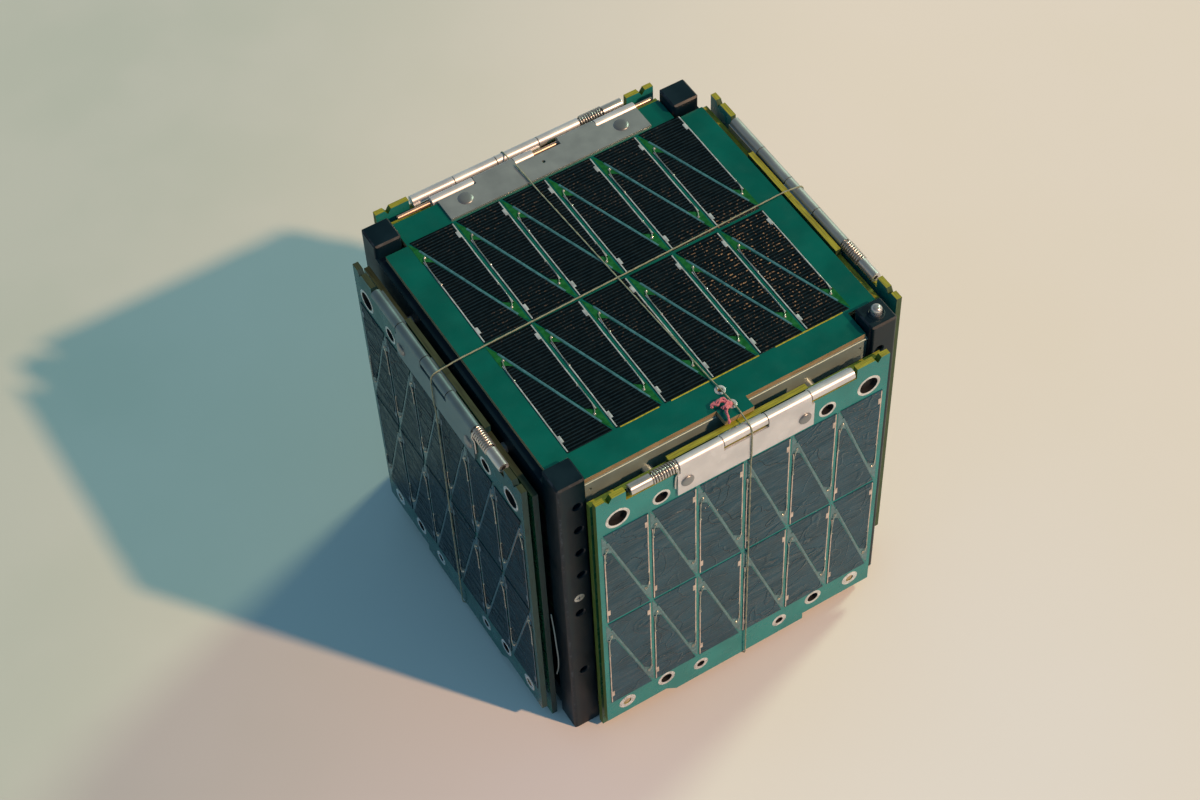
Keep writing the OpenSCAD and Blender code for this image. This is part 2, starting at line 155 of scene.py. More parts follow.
def revolved(profile: Profile, centre: Point, base: float, steps: int = 28, ring: bool = False) -> Surface:
    """A profile turned about a line along w.

    A point is (u + r cos a, v + r sin a, base + h), with r and h from the profile and a over a full turn.

    Args:
        profile: pairs of radius and height.
        centre: u and v of the line.
        base: w at height nought.
        steps: points around.
        ring: whether the profile closes on itself.

    Returns:
        The surface, closed at its poles.
    """
    r, h = np.array(profile, float).T
    a = np.linspace(0, 2 * np.pi, steps, endpoint=False)
    points = np.stack([centre[0] + np.outer(r, np.cos(a)), centre[1] + np.outer(r, np.sin(a)),
                       np.broadcast_to((base + h)[:, None], (len(r), steps))], -1)
    return Surface(points.reshape(-1, 3), lattice(len(r), steps, ring))


def pairs(profile: Profile, u: float, v: float, base: float, steps: int, ring: bool = False) -> list[Surface]:
    """A revolved profile on either side of a panel's middle, at -u and at u."""
    return [revolved(profile, (s * u, v), base, steps, ring) for s in (-1, 1)]


def frames_along(path: np.ndarray) -> tuple[np.ndarray, np.ndarray]:
    """Two directions across a path at each point.

    The tangent is the difference of neighbours. Of many directions spread evenly over a ball, the reference is
    the one whose largest share along any tangent is the smallest. The first direction is the tangent crossed
    with the reference, and the second is the tangent crossed with the first.

    Args:
        path: points, n by 3.

    Returns:
        Two arrays, n by 3.
    """
    tangent = np.gradient(path, axis=0)
    tangent /= np.linalg.norm(tangent, axis=1)[:, None]
    k = np.arange(SPREAD) + 0.5
    height, turn = 1 - 2 * k / SPREAD, k * math.pi * (1 + math.sqrt(5))
    flat = np.sqrt(1 - height ** 2)
    spread = np.stack([flat * np.cos(turn), flat * np.sin(turn), height], -1)
    first = np.cross(tangent, spread[np.argmin(np.abs(spread @ tangent.T).max(1))])
    first /= np.linalg.norm(first, axis=1)[:, None]
    return first, np.cross(tangent, first)


def capped(rows: np.ndarray, ends: Sequence[np.ndarray]) -> Surface:
    """Closed sections in a row, shut by shrinking the first and the last to a point.

    Args:
        rows: points, sections by points around by 3.
        ends: the point at either end.

    Returns:
        The closed surface.
    """
    caps = [np.broadcast_to(end, (1,) + rows[0].shape) for end in ends]
    points = np.concatenate([caps[0], rows, caps[1]])
    return Surface(points.reshape(-1, 3), lattice(len(points), rows.shape[1]))


def tube(path: np.ndarray, radius: float | np.ndarray, sides: int = 8, lobes: int = 0, lobe: float = 0.0,
         turns: float = 0.0) -> Surface:
    """A round or lobed tube along a path.

    A point is the path's point plus r(a) (first cos a + second sin a), with r(a) = radius (1 + lobe cos(lobes
    a + t)), and t growing along the path, which twists the lobes as strands twist in a cord.

    Args:
        path: points, n by 3.
        radius: the tube's radius, or one for each point.
        sides: points around.
        lobes: number of strands that show.
        lobe: depth of the groove between strands, as a share of the radius.
        turns: full turns of the strands over the path.

    Returns:
        The closed tube.
    """
    path = np.asarray(path, float)
    first, second = (d[:, None] for d in frames_along(path))
    n = len(path)
    a = np.linspace(0, 2 * np.pi, sides, endpoint=False)[None, :]
    t = np.linspace(0, 2 * np.pi * turns, n)[:, None]
    r = np.broadcast_to(radius, (n,))[:, None] * (1 + lobe * np.cos(lobes * a + t))
    around = np.cos(a)[..., None] * first + np.sin(a)[..., None] * second
    return capped(path[:, None, :] + r[..., None] * around, (path[0], path[-1]))


def strip(start: Sequence[float], end: Sequence[float], width: float, height: float, base: float,
          steps: int = 2, wobble: float = 0.0, seed: int = 0) -> Surface:
    """A flat strip with a domed top that lies on a face.

    Its section is a trapezium with a raised middle, carried in a straight line from start to end, and the line
    is pushed sideways by a sum of two sines.

    Args:
        start: u and v of one end.
        end: u and v of the other end.
        width: width of the strip.
        height: height of its middle over the face.
        base: w of the face.
        steps: points along the strip.
        wobble: how far the line strays sideways.
        seed: a number that changes the phase of the stray.

    Returns:
        The closed strip.
    """
    a, b = np.array(start, float), np.array(end, float)
    along = (b - a) / np.linalg.norm(b - a)
    side = np.array([-along[1], along[0]])
    s = np.linspace(0, 1, steps)[:, None]
    stray = wobble * (np.sin(9.0 * s + seed) + 0.6 * np.sin(23.0 * s + 2.1 * seed))
    line = a + s * (b - a) + side * stray
    section = np.array([[-0.5, -SINK], [-0.5, 0.45], [-0.25, 0.9], [0.25, 0.9], [0.5, 0.45], [0.5, -SINK]])
    flat = line[:, None, :] + side * (section[:, 0] * width)[None, :, None]
    w = np.broadcast_to(base + section[:, 1] * height, (steps, len(section)))
    rows = np.concatenate([flat, w[..., None]], -1)
    return capped(rows, (rows[0].mean(0), rows[-1].mean(0)))


def smooth_path(points: Sequence[Sequence[float]], steps: int) -> np.ndarray:
    """A smooth curve through points: cubic pieces, whose slope is half the step between a point's neighbours.

    Args:
        points: the points to pass through.
        steps: number of points in the result.

    Returns:
        Points along the curve, steps by 3.
    """
    p = np.array(points, float)
    slope = np.gradient(p, axis=0)
    x = np.linspace(0, len(p) - 1, steps)
    k = np.minimum(x.astype(int), len(p) - 2)
    t = (x - k)[:, None]
    h0, h1 = 2 * t**3 - 3 * t**2 + 1, t**3 - 2 * t**2 + t
    h2, h3 = -2 * t**3 + 3 * t**2, t**3 - t**2
    return h0 * p[k] + h1 * slope[k] + h2 * p[k + 1] + h3 * slope[k + 1]


class Graph:
    """A node tree, with short calls for the nodes that are used here."""

    def __init__(self, tree: bpy.types.NodeTree) -> None:
        """Empties the tree."""
        self.tree = tree
        tree.nodes.clear()

    def new(self, kind: str, **settings: str) -> bpy.types.Node:
        """A new node, by the end of its type's name, with its settings."""
        node = self.tree.nodes.new("ShaderNode" + kind)
        for name, value in settings.items():
            setattr(node, name, value)
        return node

    def feed(self, socket: Socket, value: Value) -> None:
        """Sets an input to a number, a colour or a vector, or links it to an output.

        Args:
            socket: the input.
            value: what goes in.
        """
        if isinstance(value, Socket):
            self.tree.links.new(value, socket)
        elif socket.type == "RGBA":
            socket.default_value = (*value, 1.0)
        else:
            socket.default_value = value

    def fed(self, node: bpy.types.Node, *values: Value) -> bpy.types.Node:
        """The node, with values in its first inputs."""
        for socket, value in zip(node.inputs, values):
            self.feed(socket, value)
        return node

    def scaled(self, vector: Socket, factors: Sequence[float]) -> Socket:
        """A vector with each part multiplied."""
        return self.fed(self.new("VectorMath", operation="MULTIPLY"), vector, factors).outputs[0]

    def math(self, operation: str, *values: Value) -> Socket:
        """One arithmetic step, by its name in the Math node, on its inputs in order."""
        return self.fed(self.new("Math", operation=operation), *values).outputs[0]

    def times(self, a: Value, b: Value) -> Socket:
        """The product of two numbers."""
        return self.math("MULTIPLY", a, b)

    def off(self, value: Value, middle: float) -> Socket:
        """How far a number is from a middle."""
        return self.math("ABSOLUTE", self.math("SUBTRACT", value, middle))

    def part(self, vector: Socket, index: int) -> Socket:
        """X, Y or Z of a vector, by its number."""
        return self.fed(self.new("SeparateXYZ"), vector).outputs[index]

    def between(self, value: Value, low: float, high: float, new_low: float = 0.0,
                new_high: float = 1.0) -> Socket:
        """A value eased from one range, low to high, to another."""
        ease = self.new("MapRange", interpolation_type="SMOOTHSTEP")
        return self.fed(ease, value, low, high, new_low, new_high).outputs[0]

    def mix(self, share: Value, a: Value, b: Value) -> Socket:
        """Colour a where share is 0 and b where it is 1."""
        node = self.new("Mix", data_type="RGBA")
        for number, value in ((0, share), (6, a), (7, b)):
            self.feed(node.inputs[number], value)
        return node.outputs[2]


class Nodes(Graph):
    """A new material's nodes, with patterns laid out in millimetres of the piece's own space."""

    def __init__(self, name: str) -> None:
        """Starts the material of that name."""
        self.material = bpy.data.materials.new(name)
        self.material.use_nodes = True
        super().__init__(self.material.node_tree)
        self.shader = self.new("BsdfPrincipled")
        self.tree.links.new(self.shader.outputs[0], self.new("OutputMaterial").inputs[0])
        self.place = self.scaled(self.new("TexCoord").outputs["Object"], (1 / MM,) * 3)

    def set(self, **values: Value) -> None:
        """Feeds the shader's sockets by name. An underscore stands for a space."""
        for name, value in values.items():
            self.feed(self.shader.inputs[name.replace("_", " ")], value)

    def away(self, spot: Sequence[float]) -> Socket:
        """Distance of each place from a spot, in millimetres."""
        return self.fed(self.new("VectorMath", operation="DISTANCE"), self.place, spot).outputs["Value"]

    def noise(self, size: float, detail: float = 3.0, rough: float = 0.5,
              stretch: Sequence[float] = (1, 1, 1), warp: float = 0.0) -> Socket:
        """Soft random shade from 0 to 1.

        Args:
            size: size of its patches in millimetres.
            detail: number of finer layers.
            rough: strength of the finer layers.
            stretch: how much longer the patches are along X, Y and Z.
            warp: how much the patches are bent.

        Returns:
            The shade's socket.
        """
        node = self.new("TexNoise")
        for name, value in (("Vector", self.scaled(self.place, [1 / s for s in stretch])), ("Scale", 1 / size),
                            ("Detail", detail), ("Roughness", rough), ("Distortion", warp)):
            self.feed(node.inputs[name], value)
        return node.outputs["Fac"]

    def cloud(self, size: float, detail: float = 3.0, low: float = 0.3, high: float = 0.7,
              new_low: float = 0.0, new_high: float = 1.0) -> Socket:
        """Plain noise of a size and detail, eased from one range to another."""
        return self.between(self.noise(size, detail), low, high, new_low, new_high)

    def mottled(self, share: Value, colour: Colour, dark: float, light: float) -> Socket:
        """A colour between two shades of itself: dark where share is 0 and light where it is 1."""
        return self.mix(share, shade(colour, dark), shade(colour, light))

    def bump(self, height: Value, depth: float, strength: float = 1.0, under: Socket | None = None) -> Socket:
        """Shading that follows a height.

        Args:
            height: height from 0 to 1.
            depth: what a height of 1 stands for, in millimetres.
            strength: share of the effect.
            under: another bump that this one lies on.

        Returns:
            The normal's socket.
        """
        node = self.new("Bump")
        values = {"Strength": strength, "Distance": depth * MM, "Height": height}
        for name, value in (values | ({} if under is None else {"Normal": under})).items():
            self.feed(node.inputs[name], value)
        return node.outputs[0]

    def facing(self, index: int) -> Socket:
        """1 where the surface faces along an axis of its own object, and 0 where it faces across it."""
        normal = self.new("TexCoord").outputs["Normal"]
        return self.between(self.math("ABSOLUTE", self.part(normal, index)), 0.6, 0.8)


def shade(colour: Colour, factor: float) -> Colour:
    """A colour made lighter or darker by a factor."""
    return tuple(min(1.0, c * factor) for c in colour)


@dataclass(frozen=True)
class Finish:
    """Base of the finishes: a name, and a material that each finish paints in its own way."""

    name: str

    def paint(self, n: Nodes) -> None:
        """Sets the shader's inputs. Each finish has its own way."""
        raise NotImplementedError

    def make(self) -> Material:
        """The finish's material."""
        n = Nodes(self.name)
        self.paint(n)
        return n.material


@dataclass(frozen=True)
class SolderMask(Finish):
    """Lacquered circuit board: glossy green faces over glass cloth, and bare edges that show the layers."""

    green: Colour
    edge: Colour
    # side: tone of upright cuts, darker than edge as painted shade
    side: Colour
    axis: int
    gloss: float = 0.28
    thread: float = 0.9

    def cut(self, n: Nodes) -> Socket:
        """Colour of the cut edges: thin layers, of one tone on upright cuts and of another on level ones;
        where the upright tone is darker, that is painted shade.
        """
        stretch = [0.16 if i == self.axis else 6.0 for i in range(3)]
        layers = n.between(n.noise(0.8, stretch=stretch), 0.35, 0.65)
        side = n.mottled(layers, self.side, 0.55, 1.2)
        return side if self.axis == 2 else n.mix(n.facing(2), side, n.mottled(layers, self.edge, 0.55, 1.2))

    def paint(self, n: Nodes) -> None:
        """Paints the board."""
        cloud = n.noise(14.0, 4.0)
        tone = n.mottled(n.between(cloud, 0.3, 0.7), self.green, 0.86, 1.14)
        tone = n.mix(n.times(n.cloud(0.35, 2.0, 0.68, 0.76), 0.35), tone, shade(self.green, 1.9))
        face = n.facing(self.axis)
        weave = [n.math("SINE", n.times(n.part(n.place, i), 2 * math.pi / self.thread))
                 for i in range(3) if i != self.axis]
        cloth = n.math("MULTIPLY_ADD", n.times(*weave), 0.15, n.times(cloud, 0.8))
        rough = n.cloud(5.0, 3.0, 0.3, 0.7, self.gloss - 0.06, self.gloss + 0.08)
        n.set(Base_Color=n.mix(face, self.cut(n), tone), Normal=n.bump(cloth, 0.03, 0.5),
              Roughness=n.math("MAXIMUM", rough, n.between(face, 0, 1, 0.55, 0.0)), Specular_IOR_Level=0.35)


@dataclass(frozen=True)
class SolarCell(Finish):
    """Near-black cell crossed by fine silver fingers, under a clear film, with a painted glint: warm flecks on
    the fingers near one spot and in random patches.
    """

    across: int
    start: float
    wrinkle: float
    glint: float
    painted_glint_spot: Sequence[float]
    dark: Colour = (0.0005, 0.0014, 0.0020)
    silver: Colour = (0.008, 0.018, 0.022)
    shine: float = 0.28
    pitch: float = 1.02
    finger: float = 0.34
    dust: Colour = (0.09, 0.11, 0.12)
    # colour of the painted glint, a warm highlight painted on the fingers
    warm: Colour = (0.42, 0.24, 0.11)

    def fingers(self, n: Nodes) -> Socket:
        """1 on a finger and 0 between two, along the axis that the fingers lie across."""
        place = n.math("SUBTRACT", n.part(n.place, self.across), self.start)
        step = n.math("FRACT", n.math("DIVIDE", place, self.pitch))
        share = self.finger / self.pitch
        return n.between(n.off(step, 0.5), 0.3 * share, 0.7 * share, 1.0, 0.0)

    def folds(self, n: Nodes) -> Socket:
        """Height of the film's waves and creases, with calmer parts."""
        fine = n.noise(4.0, 1.5, 0.4, stretch=(2.8, 2.8, 0.8), warp=0.7)
        crease = n.off(n.noise(11.0, 1.0, 0.4, warp=1.2), 0.5)
        folds = n.math("MULTIPLY_ADD", n.between(crease, 0.0, 0.03, 1.0, 0.0), 0.5, fine)
        return n.times(folds, n.cloud(22.0, 1.0, 0.35, 0.65, 0.25, 1.0))

    def paint(self, n: Nodes) -> None:
        """Paints the cell."""
        line = self.fingers(n)
        base = n.mottled(n.cloud(6.0, 4.0), self.dark, 0.8, 1.3)
        base = n.mix(n.times(n.cloud(0.45, 2.0, 0.74, 0.8), 0.25), base, self.dust)
        # Painted glint: warm flecks along the fingers, strongest near one spot, stand for highlights of the
        # lamp.
        near = n.between(n.away(self.painted_glint_spot), 7.0, 30.0, 1.0, 0.0)
        patch = n.times(n.cloud(24.0, 2.0, 0.47, 0.6), 0.18)
        warm = n.times(n.times(n.math("MAXIMUM", near, patch), n.cloud(0.6, 1.0, 0.58, 0.68)), self.glint)
        broken = n.cloud(1.3, 2.0, 0.3, 0.6, 0.6, 1.0)
        n.set(Base_Color=n.mix(n.times(line, broken), base, n.mix(warm, self.silver, self.warm)),
              Roughness=n.cloud(3.0, 4.0, 0.3, 0.7, 0.2, 0.32), Metallic=0.0, Coat_Weight=self.shine,
              Coat_Roughness=0.1, Specular_IOR_Level=0.8 * self.shine)
        if self.wrinkle:
            film = n.bump(self.folds(n), self.wrinkle)
            n.set(Normal=n.bump(line, 0.02, 0.6, film), Coat_Normal=film)
        else:
            n.set(Normal=n.bump(line, 0.03, 0.6))


@dataclass(frozen=True)
class Metal(Finish):
    """Bare metal with drawn grain, smudges and small scratches."""

    tint: Colour
    rough: float
    grain: Sequence[float] = (30.0, 1.0, 1.0)
    depth: float = 0.004
    dull: float = 0.10
    metallic: float = 1.0

    def paint(self, n: Nodes) -> None:
        """Paints the metal."""
        streak, smudge = n.noise(0.22, 3.0, 0.6, stretch=self.grain), n.noise(7.0)
        scratch = n.between(n.noise(0.5, 1.0, stretch=(9.0, 0.7, 9.0)), 0.7, 0.74)
        tone = n.mottled(n.between(smudge, 0.3, 0.75), self.tint, 0.88, 1.05)
        rough = n.between(smudge, 0.3, 0.8, self.rough - 0.03, self.rough + 0.04)
        n.set(Base_Color=n.mix(n.times(scratch, 0.2), tone, shade(self.tint, 1.3)), Metallic=self.metallic,
              Roughness=n.math("MULTIPLY_ADD", streak, self.dull, rough),
              Normal=n.bump(streak, self.depth, 0.7))


@dataclass(frozen=True)
class Anodised(Finish):
    """Black anodised aluminium, satin, with paler wear at the long outer edges and at the rail ends."""

    tint: Colour
    half_width: float = 50.0
    height: float = 113.5
    wear: Colour = (0.12, 0.15, 0.16)

    def paint(self, n: Nodes) -> None:
        """Paints the rails."""
        x, y, z = (n.part(n.place, i) for i in range(3))
        corner = n.math("MINIMUM", n.math("ABSOLUTE", x), n.math("ABSOLUTE", y))
        edge = n.between(corner, self.half_width - 0.75, self.half_width - 0.25)
        end = n.between(n.off(z, self.height / 2), self.height / 2 - 0.5, self.height / 2 - 0.3)
        brink = n.math("MAXIMUM", edge, n.times(end, n.math("SUBTRACT", 1.0, n.facing(2))))
        worn = n.times(brink, n.between(n.noise(2.2, 4.0, 0.65), 0.5, 0.64))
        cloud = n.noise(9.0, 4.0)
        tone = n.mottled(n.between(cloud, 0.3, 0.7), self.tint, 0.8, 1.3)
        n.set(Base_Color=n.mix(n.times(worn, 0.4), tone, self.wear), Metallic=0.0, Specular_IOR_Level=0.25,
              Roughness=n.between(cloud, 0.3, 0.7, 0.34, 0.46),
              Normal=n.bump(n.noise(0.12, 2.0, 0.7), 0.01, 0.5))


@dataclass(frozen=True)
class Solder(Finish):
    """Tinned or plated metal, a little lumpy."""

    tint: Colour
    rough: float = 0.3
    lump: float = 0.03
    metallic: float = 0.6

    def paint(self, n: Nodes) -> None:
        """Paints the plating."""
        lumps = n.noise(0.5)
        n.set(Base_Color=n.mottled(n.cloud(1.6), self.tint, 0.7, 1.1), Metallic=self.metallic,
              Roughness=n.between(lumps, 0.3, 0.7, self.rough - 0.08, self.rough + 0.12),
              Normal=n.bump(lumps, self.lump, 0.8))


@dataclass(frozen=True)
class Fibre(Finish):
    """Twisted nylon or yarn, with darker grooves and lighter fuzz."""

    tint: Colour
    rough: float = 0.55

    def paint(self, n: Nodes) -> None:
        """Paints the cord."""
        strands = n.noise(0.18, 3.0, 0.7)
        n.set(Base_Color=n.mottled(n.between(strands, 0.3, 0.7), self.tint, 0.55, 1.35), Roughness=self.rough,
              Normal=n.bump(strands, 0.04, 0.8), Sheen_Weight=0.25, Sheen_Roughness=0.5)


@dataclass(frozen=True)
class ClearSeam(Finish):
    """Clear adhesive that has crept up between two cells."""

    tint: Colour

    def paint(self, n: Nodes) -> None:
        """Paints the adhesive."""
        cloud = n.noise(1.4)
        n.set(Base_Color=n.mottled(n.between(cloud, 0.3, 0.7), self.tint, 0.75, 1.2), Coat_Weight=0.3,
              Roughness=n.between(cloud, 0.3, 0.7, 0.12, 0.3), Specular_IOR_Level=0.6,
              Normal=n.bump(n.noise(0.8, 2.0), 0.03, 0.7))


@dataclass(frozen=True)
class BoardStack(Finish):
    """Plain block that stands for packed boards: thin green bands between dark ones."""

    pitch: float = 15.0
    green: Colour = (0.03, 0.14, 0.07)

    def paint(self, n: Nodes) -> None:
        """Paints the block."""
        level = n.math("FRACT", n.math("DIVIDE", n.part(n.place, 2), self.pitch))
        dark = n.mix(n.noise(2.0, 4.0), (0.02, 0.02, 0.022), (0.06, 0.06, 0.065))
        n.set(Base_Color=n.mix(n.between(n.off(level, 0.5), 0.04, 0.06, 1.0, 0.0), dark, self.green),
              Roughness=n.cloud(3.0, 3.0, 0.3, 0.7, 0.4, 0.65), Normal=n.bump(n.noise(1.0), 0.1, 0.5))


@dataclass(frozen=True)
class Dark(Finish):
    """Painted shade: the dark of the unlit inside of a hole or bore."""

    def paint(self, n: Nodes) -> None:
        """Paints the hole."""
        n.set(Base_Color=n.mix(n.noise(0.6, 2.0), (0.004, 0.004, 0.005), (0.012, 0.013, 0.014)),
              Roughness=0.7, Normal=n.bump(n.noise(0.3, 2.0), 0.02, 0.5))


class Finishes:
    """Every finish of the satellite, made once and kept by a short word."""

    def __init__(self) -> None:
        """Makes the materials."""
        along_y, even = (1.0, 30.0, 1.0), (1.0, 1.0, 1.0)
        green, olive, painted_shade_olive = (0.012, 0.090, 0.040), (0.27, 0.25, 0.012), (0.07, 0.13, 0.008)
        teal, emerald, tan = (0.012, 0.200, 0.175), (0.002, 0.088, 0.062), (0.40, 0.28, 0.13)
        specs = {
            "anodised": Anodised("black_anodised", (0.0015, 0.0100, 0.0160)),
            # The green cast of this tint is a painted reflection; the grey under it is the metal's own.
            "aluminium": Metal("milled_aluminium", (0.38, 0.47, 0.40), 0.40, dull=0.14, metallic=0.45),
            "brushed": Metal("brushed_aluminium", (0.40, 0.42, 0.40), 0.36, along_y, 0.008, metallic=0.7),
            "rivet": Metal("rivet_steel", (0.30, 0.31, 0.31), 0.35, even, metallic=0.8),
            "hinge": Metal("hinge_metal_along_x", (0.72, 0.71, 0.70), 0.36, metallic=0.65),
            "hinge_right": Metal("hinge_metal_along_y", (0.46, 0.49, 0.47), 0.36, along_y, metallic=0.75),
            # Painted shade: a darker copy of the hinge metal for the left hinge, which lies in shade.
            "hinge_left": Metal("dull_hinge_metal", (0.17, 0.24, 0.26), 0.38, along_y, metallic=0.75),
            "steel": Metal("polished_steel", (0.70, 0.69, 0.67), 0.26, (1.0, 1.0, 8.0), metallic=0.85),
            "copper": Metal("coppery_pin", (0.72, 0.50, 0.38), 0.30, metallic=0.8),
            "wire": Metal("spring_wire", (0.60, 0.58, 0.55), 0.24, even, 0.002, metallic=0.9),
            "plate": SolderMask("end_board", green, olive, (0.14, 0.16, 0.012), 2),
            "top": SolderMask("top_board", emerald, tan, tan, 2, 0.2),
            "tin": Solder("tinned_ring", (0.74, 0.74, 0.70)),
            "bus": Solder("busbar_silver", (0.46, 0.49, 0.46), 0.38, 0.01, 0.35),
            "cream_bus": Solder("busbar_cream", (0.60, 0.50, 0.40), 0.42, 0.02, 0.2),
            "shaded_bus": Solder("shaded_busbar", (0.16, 0.21, 0.23), 0.38, 0.02, 0.3),
            "blob": Solder("solder", (0.52, 0.52, 0.42), 0.2, 0.08),
            "lug": Solder("tan_pad", (0.50, 0.38, 0.22), 0.4, metallic=0.3),
            "seam": ClearSeam("cell_adhesive", (0.045, 0.140, 0.145)),
            "shaded_seam": ClearSeam("shaded_adhesive", (0.012, 0.048, 0.058)),
            "wedge": ClearSeam("green_wedge", (0.007, 0.100, 0.018)),
            "film": ClearSeam("film_edge", (0.34, 0.31, 0.02)),
            "line": Fibre("nylon_line", (0.23, 0.24, 0.13)),
            "yarn": Fibre("pink_yarn", (0.52, 0.13, 0.14), 0.7),
            "stack": BoardStack("packed_boards"),
            "dark": Dark("dark_bore"),
        }
        for face, mask, edge, side in (
                (Face.FRONT, teal, olive, painted_shade_olive), (Face.BACK, teal, olive, painted_shade_olive),
                # The left panel's darker solder mask and cut edges are painted shade, for the side that faces
                # away from the lamps.
                (Face.LEFT, shade(teal, 0.4), (0.030, 0.040, 0.014), (0.010, 0.040, 0.038)),
                (Face.RIGHT, teal, olive, (0.05, 0.09, 0.03))):
            for word, tone in (("inner_board_", green), ("panel_board_", mask)):
                specs[word + face.key] = SolderMask(word + face.key, tone, edge, side, face.normal_index)
        self.made = {word: spec.make() for word, spec in specs.items()}

    def __getitem__(self, word: str) -> Material:
        """The finish kept by a word."""
        return self.made[word]

    def for_node(self, node: str) -> Material:
        """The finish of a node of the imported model, by the start of its name."""
        key = node.rsplit("_", 1)[-1]
        hinge = f"hinge_{key}" if key in ("left", "right") else "hinge"
        words = {"side_frame": "anodised", "rib": "aluminium", "board_spacers": "steel",
                 "bottom_board": "plate", "top_deck": "plate", "avionics_block": "stack",
                 "separation_spring": "steel", "rail_screws": "steel", "pin_top": "copper", "pin": "steel",
                 "spring": "wire",
                 "inner_board": "inner_board_" + key, "board_top": "top", "board": "panel_board_" + key,
                 "leaf_top": "brushed", "leaf": hinge, "fixed_leaf": hinge}
        return self.made[next(word for start, word in words.items() if node.startswith(start))]

    def dress(self, nodes: dict[str, Object]) -> None:
        """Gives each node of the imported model, by its name, its finish, but for the cells."""
        for name, node in nodes.items():
            if not name.startswith("cells"):
                node.data.materials.clear()
                node.data.materials.append(self.for_node(name))
                log.info("%s: %s", name, node.data.materials[0].name)


@dataclass
class Trim:
    """Base of the trims: a face, and a way to turn surfaces in its directions into pieces that ride."""

    face: Face
    finishes: Finishes

    def put(self, name: str, surface: Surface, finish: str, slot: str, body: str = "",
            sharp: float = SHARP) -> Object:
        """Makes a piece from a surface and lets it ride on a body.

        Args:
            name: the piece's name.
            surface: its surface in u, v and w of the face.
            finish: the word of its finish.
            slot: the name of a material slot; it is not used.
            body: the body that it rides on, or nothing for the face's panel.
            sharp: angle in degrees past which an edge stays sharp.

        Returns:
            The new object.
        """
        body = body or "panel_" + self.face.key
        mesh = bpy.data.meshes.new(name)
        mesh.from_pydata((surface.points @ self.face.axes * MM).tolist(), [], surface.quads.tolist())
        sheet = bmesh.new()
        sheet.from_mesh(mesh)
        bmesh.ops.remove_doubles(sheet, verts=sheet.verts, dist=1e-8)
        bmesh.ops.recalc_face_normals(sheet, faces=sheet.faces)
        sheet.to_mesh(mesh)
        sheet.free()
        mesh.polygons.foreach_set("use_smooth", np.ones(len(mesh.polygons), bool))
        mesh.set_sharp_from_angle(angle=math.radians(sharp))
        mesh.materials.append(self.finishes[finish])
        piece = placed(name, mesh)
        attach(piece, body)
        log.info("%s: %d faces on %s", name, len(mesh.polygons), body)
        return piece


Place = tuple[int, int, bool]  # column and row of a pair of cells, and whether its second cell is meant


